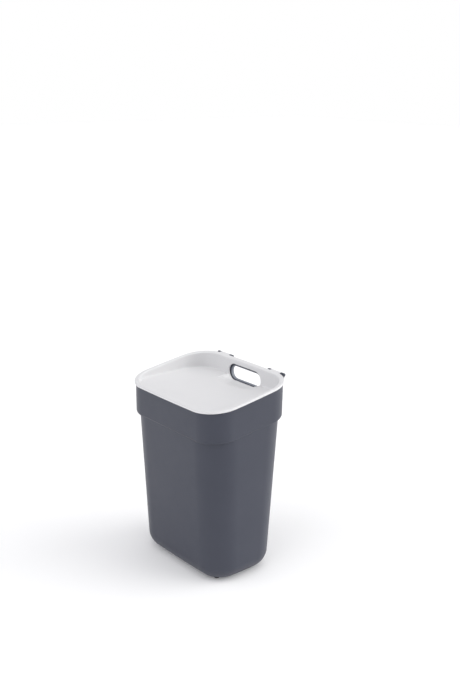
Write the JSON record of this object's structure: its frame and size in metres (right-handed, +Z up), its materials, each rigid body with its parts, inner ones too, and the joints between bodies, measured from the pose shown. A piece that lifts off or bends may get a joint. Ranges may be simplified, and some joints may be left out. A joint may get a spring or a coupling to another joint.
{
  "type": "lidded waste bin",
  "caption": "Tapered rectangular waste bin with round corners, a stepped collar, a hand hole in the back, rubber feet and a recessed lid hinged along the back.",
  "frame": {"origin": "on the floor, under the middle of the whole bin's outline, hinges included", "axes": "+Z up, +Y towards the hinges at the back, -Y the front, +X to the bin's right seen from the front"},
  "size_m": [0.2618, 0.2042, 0.3655],
  "materials": {
    "bin_plastic": "fine matt moulded grain, dark slate grey",
    "lid_plastic": "fine satin moulded grain, pale grey",
    "pin_plastic": "smooth, dark slate grey",
    "foot_rubber": "matt black"
  },
  "bodies": {
    "bin": {"bin_body": "bin_plastic", "hinge_pin_left": "pin_plastic", "hinge_pin_right": "pin_plastic", "foot_front_left": "foot_rubber", "foot_front_right": "foot_rubber", "foot_rear_left": "foot_rubber", "foot_rear_right": "foot_rubber"},
    "lid": {"lid": "lid_plastic"}
  },
  "joints": [
    {"name": "lid_hinge", "type": "hinge", "parent": "bin", "child": "lid", "pos_m": [0, 0.0981, 0.3615], "axis": [-1, 0, 0], "range_deg": [0, 105]}
  ]
}
